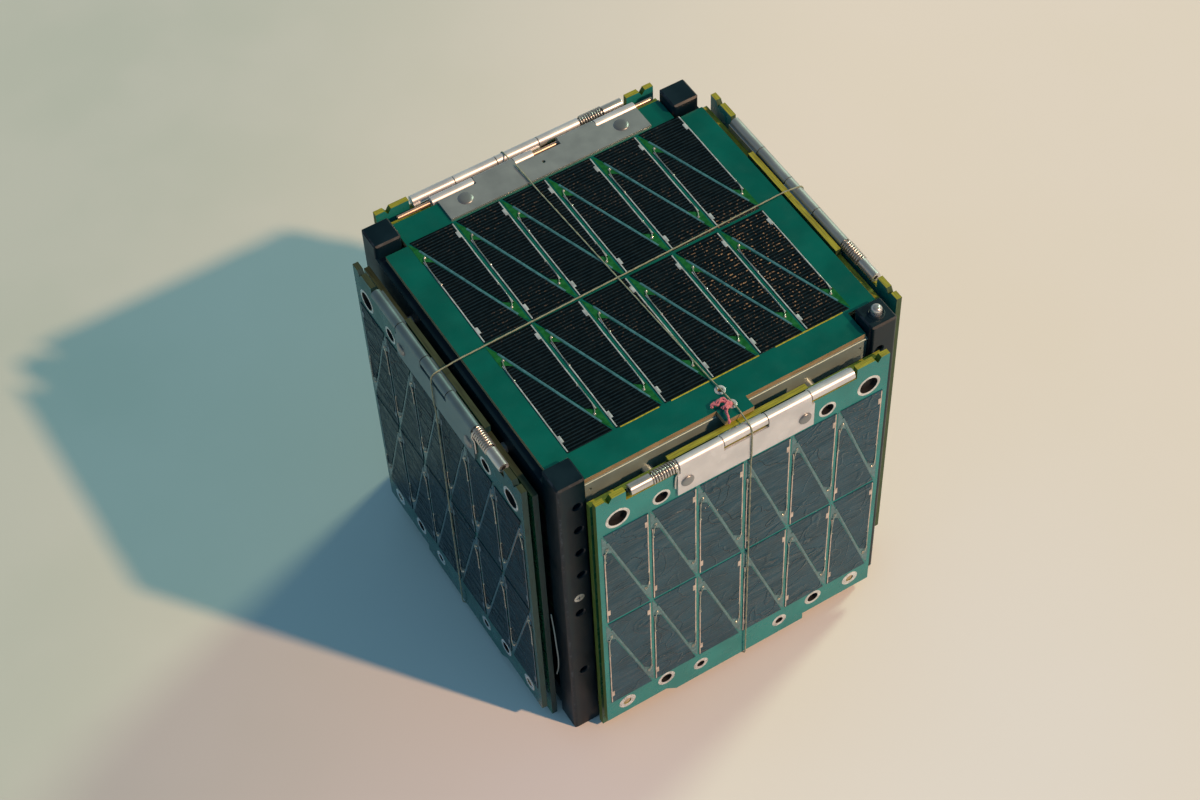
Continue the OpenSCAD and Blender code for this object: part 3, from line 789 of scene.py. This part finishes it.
@dataclass
class CellField(Trim):
    """Cells of one panel: two rows of six pairs, each pair two triangles that share a rectangle."""

    columns: int = 6
    rows: int = 2
    width: float = 14.1
    height: float = 40.6
    gap: float = 1.0
    clip: float = 8.0
    low_drop: float = 1.6
    bus_in: float = 0.2
    bus_size: Point = (0.32, 0.06)
    pad: tuple[float, float, float] = (0.95, 2.2, 0.09)
    pad_up: float = 4.9
    blob_r: float = 0.36
    wire_r: float = 0.115
    seam_size: Point = (0.72, 0.2)
    seam_end: Point = (1.2, 3.6)
    wedge_h: float = 0.06
    film_size: Point = (0.4, 0.14)
    dome: Profile = ((0.0, -SINK), (1.25, -SINK), (1.15, 0.12), (0.8, 0.3), (0.4, 0.42), (0.0, 0.46))
    drop: Profile = ((0, -SINK), (0.34, -SINK), (0.28, 0.14), (0.12, 0.22), (0, 0.24))

    def __post_init__(self) -> None:
        """Finds the corner of the field and the levels of the board and of the cells' upper faces."""
        low, high = self.face.span("cells_" + self.face.key)
        self.origin = low[:2] - self.gap / 2
        self.board, self.level = low[2], high[2]
        self.rng = np.random.default_rng(11 + list(Face).index(self.face))
        self.places = [(c, r, t) for c in range(self.columns) for r in range(self.rows) for t in (False, True)]

    def spots(self, points: np.ndarray, place: Place) -> np.ndarray:
        """Points of a pair, carried to their place in the field. The second cell is the first turned round.

        Args:
            points: u and v from the pair's corner, and height over the cells, n by 3.
            place: the cell that is meant.

        Returns:
            The points in u, v and w.
        """
        column, row, turned = place
        p = np.array(points, float).reshape(-1, 3)
        if turned:
            p[:, 0], p[:, 1] = self.width - p[:, 0], self.height - p[:, 1]
        p[:, 0] += self.origin[0] + column * self.width
        p[:, 1] += self.origin[1] + row * self.height
        p[:, 2] += self.level
        return p

    def laid(self, ends: Sequence[Point], place: Place, *shape: float) -> Surface:
        """A strip between two points of a pair, with what strip takes from its width on."""
        a, b = self.spots([[*end, 0] for end in ends], place)
        return strip(a[:2], b[:2], *shape)

    def bars(self) -> Surface:
        """Silver bars along the long legs, each with a square pad near its right-angled corner."""
        parts, (wide, long, thick) = [], self.pad
        u, top = self.gap / 2 + self.bus_in, self.height - self.gap / 2 - self.clip + 0.2
        middle = u + wide / 2 - 0.1
        for place in self.places:
            parts.append(self.laid([(u, self.gap / 2 + 0.3), (u, top)], place, *self.bus_size, self.level,
                                   12, 0.02, place[0] + 7 * place[1]))
            parts.append(self.laid([(middle, self.pad_up - long / 2), (middle, self.pad_up + long / 2)],
                                   place, wide, thick, self.level, 3))
        return Surface.joined(parts)

    def joints(self) -> Surface:
        """A solder blob beyond each cut tip, and the wire that runs from it to the silver bar.

        A blob is a low dome whose rim is pushed in and out. A wire is a tube along a curve that leaves the
        blob, bends to the bar, follows it with a small stray and ends in a drop of solder.
        """
        parts, u = [], self.gap / 2
        tip = self.height - self.gap / 2 - self.clip
        dome = [(r * self.blob_r, h) for r, h in self.dome]
        for place in self.places:
            jig = self.rng.uniform(-1, 1, 6)
            blob = np.array([u + 1.15 + 0.15 * jig[0], tip + 1.5 + 0.3 * jig[1], self.board - self.level])
            run = 6.5 + 3.5 * jig[2]
            path = smooth_path([blob + [0.25, 0.35, 0.1], blob + [0, 0, 0.42], blob + [-0.55, -0.9, 0.42],
                                [u + 0.3 + 0.08 * jig[3], tip - 1.6, 0.14],
                                [u + self.bus_in, tip - run / 2, 0.13 + 0.05 * jig[4]],
                                [u + 0.24 + 0.1 * jig[5], tip - run, 0.10]], 26)
            parts.append(tube(self.spots(path, place), self.wire_r, 6))
            parts.append(self.lumpy(dome, self.spots(blob, place)[0], self.board, 12, 0.18))
            nub = self.spots([[u + 0.3, tip - run, 0.0]], place)[0]
            parts.append(self.lumpy(self.drop, nub, self.level, 10, 0.15))
        return Surface.joined(parts)

    def lumpy(self, profile: Profile, centre: np.ndarray, base: float, steps: int, amount: float) -> Surface:
        """A revolved profile, its points pushed out or in by a random share of their distance from the line.

        Args:
            profile: pairs of radius and height.
            centre: u and v of the line.
            base: w at height nought.
            steps: points around.
            amount: the largest share.

        Returns:
            The uneven surface.
        """
        surface = revolved(profile, centre[:2], base, steps)
        push = 1 + amount * self.rng.uniform(-1, 1, len(surface.points))
        radial = surface.points[:, :2] - centre[:2]
        at_pole = np.linalg.norm(radial, axis=1) < 1e-6
        surface.points[:, :2] = centre[:2] + radial * np.where(at_pole, 1, push)[:, None]
        return surface

    def seams(self) -> Surface:
        """Adhesive along the slanted gap of each pair, a little lower than the cells."""
        (du, dv), low = self.seam_end, self.gap / 2
        ends = [(self.width - low - du, low + dv), (low + du, self.height - low - dv)]
        return Surface.joined([self.laid(ends, (c, r, t), *self.seam_size, self.board, 16, 0.03, c + 5 * r)
                               for c, r, t in self.places if not t])

    def wedges(self) -> Surface:
        """Green patches between each cut tip and the end of the slanted gap, just above the board.

        A patch is a flat block on four corners: both ends of the cut edge, and the two sides of the pair's
        sharp end.
        """
        depth, h = self.board - self.level, self.height
        low_v = h - self.clip - self.low_drop
        low_u = self.width * (1 - low_v / h)
        ring = [[0.1, h - self.clip - 0.6], [low_u - 0.2, low_v - 0.4], [low_u * 0.42, h - 3.2],
                [0.1, h - 0.7]]
        block = np.column_stack([ring * 2, np.repeat([depth - SINK, depth + self.wedge_h], 4)])
        quads = np.array([[3, 2, 1, 0], [4, 5, 6, 7], [0, 1, 5, 4], [1, 2, 6, 5], [2, 3, 7, 6], [3, 0, 4, 7]])
        return Surface.joined([Surface(self.spots(block, place), quads) for place in self.places])

    def film_edges(self) -> Surface:
        """Yellow edges of film below some cells of the first row, each over a share of its column."""
        parts, v = [], self.origin[1] + self.gap / 2 - 0.1
        for column, span in enumerate(((0.1, 0.9), (0.15, 1.0), (0.0, 1.0), (0.35, 1.0), (0.0, 0.8)), 1):
            start, end = ((self.origin[0] + column * self.width + s * self.width, v) for s in span)
            parts.append(strip(start, end, *self.film_size, self.board, 6, 0.02, column))
        return Surface.joined(parts)

    def dress(self) -> None:
        """Gives the cells their finish: dark and plain on top, bluer under creased film on the sides, dimmed
        on the left as painted shade, and with a painted glint strongest near a spot on the top and the front.
        """
        # On the left panel the factor light dims the cells' colours and shine: painted shade.
        key, top, light = self.face.key, self.face is Face.TOP, 0.35 if self.face is Face.LEFT else 1.0
        film = {} if top else {"dark": shade((0.014, 0.052, 0.072), light), "shine": 0.14 * light,
                               "silver": shade((0.026, 0.066, 0.086), light)}
        # Spots where the painted glint is strongest, on the top and the front; other faces keep it to random
        # patches.
        spots = {Face.TOP: (33.0, -15.0, 110.5), Face.FRONT: (38.0, -57.0, 94.0)}
        wrinkle = {Face.TOP: 0.0, Face.LEFT: 0.8}.get(self.face, 0.5)
        cell = SolarCell("solar_cell_" + key, 1 if top else 2, float(self.origin[1]), wrinkle,
                         1.0 if top else 0.4, spots.get(self.face, (0.0, 0.0, 0.0)), **film)
        node = frame["nodes"]["cells_" + key]
        node.data.materials.clear()
        node.data.materials.append(cell.make())

    def build(self) -> None:
        """Dresses the cells and makes the field's pieces."""
        self.dress()
        key = self.face.key
        bus, seam, wedge = {Face.TOP: ("bus", "seam", "wedge"),
                            Face.LEFT: ("shaded_bus", "shaded_seam", "shaded_seam")
                            }.get(self.face, ("cream_bus", "seam", "seam"))
        self.put("busbars_" + key, self.bars(), bus, "cell")
        self.put("cell_wiring_" + key, self.joints(), "blob", "cell")
        self.put("cell_seams_" + key, self.seams(), seam, "cell")
        self.put("cell_wedges_" + key, self.wedges(), wedge, "cell")
        if self.face is Face.TOP:
            self.put("film_edges_" + key, self.film_edges(), "film", "cell")


def washer(inner: float, outer: float, rim: float = 0.1) -> Profile:
    """Profile of a flat ring with rounded rims, from its inner and outer radius and its inner rim's width."""
    return [(inner, -SINK), (inner, 0.05), (inner + rim, 0.08), (outer - 0.1, 0.08), (outer, 0.05),
            (outer, -SINK)]


@dataclass
class SidePanelTrim(Trim):
    """Plated rings, rivets, spring leg and spring of one side panel."""

    rings: tuple[tuple[float, float, float, float], ...] = (
        (37.3, 100.9, 2.7, 3.5), (24.7, 100.0, 1.9, 2.6), (36.8, 12.2, 1.2, 2.6), (24.2, 12.9, 1.7, 2.7),
        (13.0, 10.5, 1.2, 2.3))
    filled: int = 2
    board_t: float = 1.5
    leaf_t: float = 0.6
    rivet: tuple[float, float, float] = (17.4, 102.2, 1.85)
    rivet_h: float = 0.8
    axis_v: float = 108.5
    axis_w: float = 55.4
    coil_from: float = -27.2
    coil_to: float = -19.7
    coil_turns: int = 9
    coil_r: float = 1.50
    wire_r: float = 0.27
    sleeve_from: float = -33.2
    sleeve_r: float = 1.5

    def __post_init__(self) -> None:
        """Finds the board's outer face."""
        self.level = self.face.span("board_" + self.face.key)[1][2]

    def plated(self) -> Surface:
        """Flat rings with rounded rims around the holes."""
        return Surface.joined([ring for u, v, inner, outer in self.rings
                               for ring in pairs(washer(inner, outer), u, v, self.level, 40, ring=True)])

    def painted_hole_shades(self) -> Surface:
        """Painted shade: dark cups in the open holes, closed at the board's rear face, stand for the shade
        inside them.
        """
        parts, t, floor = [], 0.05, 0.08 - self.board_t
        for k, (u, v, r, _) in enumerate(self.rings):
            if k != self.filled:
                profile = [(0, -self.board_t), (r, -self.board_t), (r, 0.0), (r - t, 0.0), (r - t, floor),
                           (0, floor)]
                parts += pairs(profile, u, v, self.level, 32)
        return Surface.joined(parts)

    def lugs(self) -> Surface:
        """Tan fillings of the two lowest outer rings."""
        u, v, inner, _ = self.rings[self.filled]
        profile = [(0, -0.5), (inner, -0.5), (inner, -0.25), (0.7 * inner, -0.12), (0, -0.16)]
        return Surface.joined(pairs(profile, u, v, self.level, 24))

    def rivets(self) -> Surface:
        """Round rivet heads: a quarter circle's profile, a little flattened, with a rounded rim."""
        (u, v, r), a = self.rivet, np.linspace(0, np.pi / 2, 7)
        dome = list(zip(r * np.cos(a), 0.08 + 0.72 * np.sin(a)))
        profile = [(0, -0.05), (r, -0.05)] + dome[:-1] + [(0.0, self.rivet_h)]
        return Surface.joined(pairs(profile, u, v, self.level + self.leaf_t, 32))

    def coil(self) -> Surface:
        """Spring wire wound around the hinge line.

        A point of its middle is (u, axis + r cos a, axis + r sin a), with u growing evenly as a goes round.
        """
        turn = np.linspace(0, 2 * np.pi * self.coil_turns, 18 * self.coil_turns)
        u = np.linspace(self.coil_from + self.wire_r, self.coil_to - self.wire_r, len(turn))
        path = [u, self.axis_v + self.coil_r * np.cos(turn), self.axis_w + self.coil_r * np.sin(turn)]
        return tube(np.stack(path, -1), self.wire_r)

    def leg(self) -> Surface:
        """The spring's leg, which comes off the coil and presses on the board beside the leaf."""
        u, v, w = self.coil_to, self.axis_v, self.level
        path = [[u - 0.3, v + 0.2, self.axis_w + 1.24], [u - 0.5, v - 1.2, w + 0.75],
                [u - 0.9, v - 2.6, w + 0.4], [u - 1.1, v - 5.0, w + 0.34], [u - 1.1, v - 7.4, w + 0.33]]
        return tube(smooth_path(path, 24), self.wire_r)

    def turned_end(self, profile: Profile) -> Surface:
        """A profile of radius and distance out, turned about the hinge line at the sleeve's outer end."""
        flat = revolved(profile, (0.0, 0.0), 0.0, 24)
        x, y, h = flat.points.T
        points = np.stack([self.sleeve_from - h, self.axis_v + x, self.axis_w + y], -1)
        return Surface(points, flat.quads)

    def build(self) -> None:
        """Makes the trim's pieces."""
        key, r = self.face.key, self.sleeve_r
        self.put("plated_rings_" + key, self.plated(), "tin", "panel_green")
        self.put("pad_fillings_" + key, self.lugs(), "lug", "panel_green")
        self.put("hole_linings_" + key, self.painted_hole_shades(), "dark", "panel_green")
        self.put("rivets_" + key, self.rivets(), "rivet", "hinge_leaf", sharp=CROWN)
        coil = self.put("spring_coil_" + key, self.coil(), "wire", "spring_steel", "bus", ROUND)
        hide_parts("spring_" + key)
        self.put("spring_leg_" + key, self.leg(), "wire", "spring_steel", sharp=ROUND)
        rim = [(0, -SINK), (r, -SINK), (r - 0.05, 0.12), (r - 0.2, 0.16), (r - 0.38, 0.1), (0, 0.02)]
        # Painted shade: a dark disc in the sleeve's open end stands for the shade in its bore.
        bore = [(0, 0.0), (r - 0.42, 0.0), (r - 0.45, 0.07), (0, 0.06)]
        self.put("sleeve_rim_" + key, self.turned_end(rim), "steel", "pin_steel", "bus")
        self.put("sleeve_bore_" + key, self.turned_end(bore), "dark", "pin_steel", "bus")


@dataclass
class TopTrim(Trim):
    """Rings, rivets and knot of the top panel."""

    level: float = 110.5
    leaf_t: float = 0.6
    tie_rings: tuple[Point, ...] = ((1.0, -43.2), (1.0, -48.3))
    rivets_at: tuple[Point, ...] = ((-20.6, 46.2), (27.8, 46.2))
    rivet: Profile = ((0, -0.05), (2.15, -0.05), (2.12, 0.1), (1.9, 0.24), (1.4, 0.33), (0.7, 0.37), (0, 0.38))
    knot_at: Point = (0.2, -48.4)
    lump: Profile = ((0, -0.5), (0.7, -0.4), (1.0, 0.0), (0.8, 0.5), (0.3, 0.8), (0, 0.85))
    curls: tuple[tuple[tuple[float, float, float], ...], ...] = (
        ((-0.8, 0.8, 0.7), (-1.9, 1.3, 1.0), (-2.9, 1.0, 0.8), (-3.5, 1.6, 0.6), (-4.3, 1.3, 0.5)),
        ((-0.9, -0.5, 0.7), (-1.6, -1.6, 0.9), (-2.3, -2.7, 0.7), (-2.5, -3.8, 0.1), (-2.9, -4.6, -0.6)),
        ((0.1, 0.9, 0.8), (-0.8, 1.7, 1.2), (-1.8, 1.9, 1.0), (-2.8, 1.6, 0.8), (-3.3, 2.3, 0.6)),
        ((-0.4, -0.9, 0.6), (-1.3, -1.2, 1.1), (-2.2, -0.9, 1.2), (-3.0, -0.5, 0.8)))

    def knot(self) -> Surface:
        """Frayed ends of the knotted yarn: short curls that start at a tie hole, and a lump that holds them.

        A curl is a lobed, narrowing tube along a smooth curve that strays by sines. The lump is a revolved
        profile whose points, but for its poles, are moved at random.
        """
        rng, steps, parts, around = np.random.default_rng(5), 34, [], 14
        root = np.array([*self.knot_at, self.level + 0.5])
        waves = [np.linspace(0, phase, steps) for phase in (21, 17, 13)]
        for curl in self.curls:
            for k in range(2):
                points = np.vstack([root, root + np.array(curl)]) + rng.normal(0, 0.22, (len(curl) + 1, 3))
                path = smooth_path(points, steps)
                path += 0.12 * np.stack([np.sin(waves[0] + k), np.cos(waves[1]), np.sin(waves[2])], -1)
                parts.append(tube(path, np.linspace(0.34, 0.22, steps), 8, 3, 0.25, 9))
        lump = revolved(self.lump, self.knot_at, self.level + self.leaf_t, around)
        stray = rng.normal(0, 0.06, lump.points.shape)
        lump.points[around:-around] += stray[around:-around]
        return Surface.joined(parts + [lump])

    def build(self) -> None:
        """Makes the trim's pieces."""
        rings = [revolved(washer(0.72, 1.45, 0.08), c, self.level, 32, ring=True) for c in self.tie_rings]
        rivets = [revolved(self.rivet, c, self.level + self.leaf_t, 32) for c in self.rivets_at]
        self.put("tie_rings", Surface.joined(rings), "tin", "top_green")
        self.put("rivets_top", Surface.joined(rivets), "rivet", "hinge_leaf", sharp=CROWN)
        self.put("knot", self.knot(), "yarn", "top_green", sharp=ROUND)


@dataclass
class TieLine(Trim):
    """Nylon line that holds the panels shut: once round along X and once along Y, cut at each hinge line."""

    radius: float = 0.19
    lay: float = 1.1
    strands: int = 3
    top_z: float = 110.95
    panel_w: float = 56.95
    leaf_w: float = 57.2
    leaf_end: Point = (97.9, 96.6)
    axis_v: float = 108.5
    axis_w: float = 55.4
    knuckle_r: float = 1.5
    cut_z: float = 106.4
    low_z: float = 4.4
    under_z: float = 2.7
    foot_z: float = 1.2
    start: dict[Face, Point] = field(default_factory=lambda: {
        Face.LEFT: (0.3, 48.5), Face.RIGHT: (2.2, 51.0), Face.FRONT: (1.3, 51.6), Face.BACK: (3.7, 49.0)})

    def cord(self, points: Sequence[Sequence[float]], step: float = 0.5) -> Surface:
        """A three-strand line through points, straight between them apart from small rounded bends.

        Args:
            points: the corners, in X, Y and Z.
            step: distance between points of the tube.

        Returns:
            The line's surface.
        """
        p = np.array(points, float)
        at = np.concatenate([[0], np.cumsum(np.linalg.norm(np.diff(p, axis=0), axis=1))])
        s = np.linspace(0, at[-1], max(6, int(at[-1] / step)))
        path = np.stack([np.interp(s, at, p[:, k]) for k in range(3)], -1)
        for _ in range(3):
            path[1:-1] = (path[:-2] + 2 * path[1:-1] + path[2:]) / 4
        return tube(path, self.radius, 9, self.strands, 0.2, at[-1] / self.lay / self.strands)

    def over_hinge(self, face: Face) -> np.ndarray:
        """Points of the line over a side hinge: off the top board, round the knuckle and down to the cut."""
        across, start_w = self.start[face]
        a = np.radians(np.linspace(80, -10, 8))
        r = self.knuckle_r + self.radius + 0.03
        w = np.concatenate([[start_w], self.axis_w + r * np.cos(a), [self.leaf_w]])
        v = np.concatenate([[self.top_z], self.axis_v + r * np.sin(a), [self.cut_z]])
        return np.stack([np.full(len(w), across), v, w], -1) @ face.axes

    def down(self, face: Face) -> np.ndarray:
        """Points of the line down a side panel: over the leaf, down the board and in at its lower edge."""
        u, w, low, (leaf, board) = self.start[face][0], self.panel_w, self.low_z, self.leaf_end
        return np.array([[u, self.cut_z, self.leaf_w], [u, leaf, self.leaf_w], [u, board, w],
                         [u, low + 0.8, w], [u, low, w - 0.2]]) @ face.axes

    def under(self, face: Face) -> np.ndarray:
        """Points of the line below a side panel, round the inner board's foot and on to the bottom board."""
        u, along_x = self.start[face][0], face in (Face.LEFT, Face.RIGHT)
        depth = self.under_z - (2.2 * self.radius if along_x else 0.0)
        return np.array([[u, self.low_z, self.panel_w - 0.2], [u, self.foot_z, 53.9], [u, self.foot_z, 51.3],
                         [u, depth, 48.5]]) @ face.axes

    def build(self) -> None:
        """Makes the line's pieces."""
        z, x = self.top_z, -self.start[Face.BACK][0]
        (left, left_w), (right, right_w), (front, front_w), (_, back_w) = (
            self.start[face] for face in (Face.LEFT, Face.RIGHT, Face.FRONT, Face.BACK))
        along_x = [[-left_w, left, z], [right_w, right, z]]
        along_y = [[x, back_w, z + 0.6], [x + 0.3, 41.6, z + 0.5], [x + 0.5, 39, z], [0.7, -40, z],
                   [1.0, -43.2, z + 0.2], [0.9, -45.4, z + 0.5], [1.2, -48.3, z + 0.2],
                   [front, -front_w, z + 0.1]]
        on_top = Surface.joined([self.cord(along_x), self.cord(along_y)])
        self.put("tie_line_top", on_top, "line", "top_green", sharp=CORD)
        for face in self.start:
            self.put("tie_line_" + face.key, self.cord(self.down(face)), "line", "panel_green",
                     "panel_" + face.key, CORD)
        fixed = [self.cord(self.over_hinge(face), 0.3) for face in self.start]
        for one, other in ((Face.LEFT, Face.RIGHT), (Face.FRONT, Face.BACK)):
            fixed.append(self.cord(np.vstack([self.under(one), self.under(other)[::-1]])))
        self.put("tie_line_bus", Surface.joined(fixed), "line", "board_green", "bus", CORD)


@dataclass
class FrameTrim(Trim):
    """Small things on the frame: the plunger, a rib's lip and the loose wire behind the left front rail."""

    rail_top: float = 113.5
    plunger_at: Point = (46.0, -46.0)
    collar: Profile = ((1.75, -SINK), (1.75, 0.1), (1.9, 0.2), (2.2, 0.2), (2.35, 0.1), (2.35, -SINK))
    lip_at: Point = (-48.35, 108.45)
    lip_spans: tuple[Point, ...] = ((-41.9, -3.6), (5.6, 41.9))
    lip_r: float = 0.28
    wire_r: float = 0.22
    wire_path: tuple[tuple[float, float, float], ...] = (
        (-51.3, -43.6, 52), (-51.6, -45.2, 46), (-51.9, -46.4, 40), (-51.8, -46.6, 34), (-51.5, -45.6, 28),
        (-51.2, -43.8, 22))

    def lip(self) -> Surface:
        """A rounded lip along the upper front edge of the front rib, on both sides of the top board's tab."""
        return Surface.joined([tube([[x, *self.lip_at] for x in (a, (a + b) / 2, b)], self.lip_r, 10)
                               for a, b in self.lip_spans])

    def plunger(self) -> Surface:
        """The separation plunger: an upright wall that rounds over to a flat dome."""
        a = np.linspace(0, np.pi / 2, 8)
        dome = list(zip(0.45 + 1.05 * np.cos(a), 1.5 + 1.08 * np.sin(a)))
        profile = [(0, -SINK), (1.5, -SINK), (1.5, 0.8)] + dome + [(0.0, 2.6)]
        return revolved(profile, self.plunger_at, self.rail_top, 32)

    def build(self) -> None:
        """Makes the frame's trim."""
        plunger = self.put("plunger", self.plunger(), "steel", "pin_steel", "bus")
        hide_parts("separation_spring")
        collar = revolved(self.collar, self.plunger_at, self.rail_top, 32, ring=True)
        self.put("plunger_collar", collar, "anodised", "black_anodised", "bus")
        self.put("rib_lip", self.lip(), "aluminium", "bare_aluminium", "bus", ROUND)
        wire = tube(smooth_path(self.wire_path, 40), self.wire_r)
        # The loose wire takes the darker left-hinge metal as painted shade, for it lies in shadow.
        self.put("loose_wire", wire, "hinge_left", "pin_steel", "bus", ROUND)


@dataclass
class Lamp:
    """A far lamp that shines from one direction."""

    name: str
    towards: tuple[float, float, float]
    strength: float
    colour: Colour
    angle: float

    def build(self) -> None:
        """Makes the lamp."""
        data = bpy.data.lights.new(self.name, "SUN")
        data.energy, data.color, data.angle = self.strength, self.colour, math.radians(self.angle)
        turn = Vector(self.towards).to_track_quat("Z", "Y").to_matrix()
        placed(self.name, data).matrix_world = turn.to_4x4()


@dataclass
class Stage:
    """Camera, lamps, world and floor."""

    camera_at: tuple[float, float, float] = (-202.33, -346.02, 588.57)
    azimuth: float = -29.189
    elevation: float = 52.84
    roll: float = -2.985
    lens: float = 72.76
    sensor: float = 36.0
    floor_half_m: float = 6.0
    cool_spot: tuple[float, float, float] = (10.0, -85.0, 0.0)
    sky: Colour = (0.16, 0.35, 0.57)
    backdrop: Colour = (0.66, 0.66, 0.60)
    mirror_low: Colour = (0.26, 0.30, 0.32)
    mirror_high: Colour = (0.04, 0.07, 0.08)
    lamps: tuple[Lamp, ...] = (Lamp("key_lamp", (0.459, -0.603, 0.652), 3.15, (1.0, 0.622, 0.391), 2.5),
                               Lamp("side_lamp", (0.75, 0.24, 0.60), 1.27, (0.77, 1.0, 0.716), 9.0))

    def camera(self) -> None:
        """Makes the camera and turns it by azimuth, elevation and roll."""
        a, e, r = (math.radians(x) for x in (self.azimuth, self.elevation, self.roll))
        back = Vector((math.sin(a) * math.cos(e), -math.cos(a) * math.cos(e), math.sin(e)))
        right = (-back).cross(Vector((0, 0, 1))).normalized()
        up = right.cross(-back)
        axis_x, axis_y = right * math.cos(r) + up * math.sin(r), -right * math.sin(r) + up * math.cos(r)
        data = bpy.data.cameras.new("camera")
        data.lens, data.sensor_width, data.clip_start, data.clip_end = self.lens, self.sensor, 0.01, 100.0
        camera = placed("camera", data)
        turn = Matrix((axis_x, axis_y, back)).transposed().to_4x4()
        camera.matrix_world = Matrix.Translation(Vector(self.camera_at) * MM) @ turn
        bpy.context.scene.camera = camera

    def world(self) -> None:
        """A plain cool sky for light, a dim one that mirrors see, and a pale one behind the object."""
        world = bpy.data.worlds.new("studio")
        bpy.context.scene.world = world
        world.use_nodes = True
        g = Graph(world.node_tree)
        height = g.part(g.new("TexCoord").outputs["Generated"], 2)
        mirror = g.mix(g.between(height, 0.25, 0.75), self.mirror_low, self.mirror_high)
        rays = g.new("LightPath").outputs
        shown = g.mix(rays["Is Camera Ray"], g.mix(rays["Is Glossy Ray"], self.sky, mirror), self.backdrop)
        g.fed(g.new("OutputWorld"), g.fed(g.new("Background"), shown).outputs[0])

    def floor(self) -> None:
        """A wide pale floor, greener far to the left and a little cooler just in front of the object."""
        h = self.floor_half_m
        mesh = bpy.data.meshes.new("floor")
        mesh.from_pydata([(-h, -h, 0), (h, -h, 0), (h, h, 0), (-h, h, 0)], [], [(0, 1, 2, 3)])
        n = Nodes("pale_floor")
        far = n.math("ADD", n.times(n.part(n.place, 0), -0.75), n.times(n.part(n.place, 1), 0.66))
        tone = n.mix(n.between(far, -60.0, 220.0), (0.725, 0.64, 0.51), (0.43, 0.455, 0.37))
        tone = n.mix(n.times(n.cloud(60.0, 3.0, 0.35, 0.65), 0.08), tone, (0.78, 0.68, 0.62))
        tone = n.mix(n.between(n.away(self.cool_spot), 30.0, 170.0, 0.7, 0.0), tone, (0.74, 0.69, 0.62))
        n.set(Base_Color=tone, Roughness=n.cloud(40.0, 3.0, 0.3, 0.7, 0.75, 0.9), Specular_IOR_Level=0.2)
        mesh.materials.append(n.material)
        floor = placed("floor", mesh)
        floor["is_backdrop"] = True

    def build(self) -> None:
        """Makes everything around the object."""
        bpy.context.scene.view_settings.view_transform = "Standard"
        self.camera()
        self.world()
        self.floor()
        for lamp in self.lamps:
            lamp.build()


def corners() -> list[list[float]]:
    """Lowest and highest corner of what shows, as plain lists in metres."""
    return [list(c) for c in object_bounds()]


def main() -> None:
    """Builds the stage and every piece, in order."""
    logging.basicConfig(level=logging.INFO, format="%(message)s")
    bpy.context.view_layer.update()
    Stage().build()
    finishes = Finishes()
    finishes.dress(frame["nodes"])
    for face in Face:
        CellField(face, finishes).build()
    for face in SIDES:
        SidePanelTrim(face, finishes).build()
    for trim in (TopTrim, TieLine, FrameTrim):
        trim(Face.TOP, finishes).build()


if __name__ == "__main__":
    main()
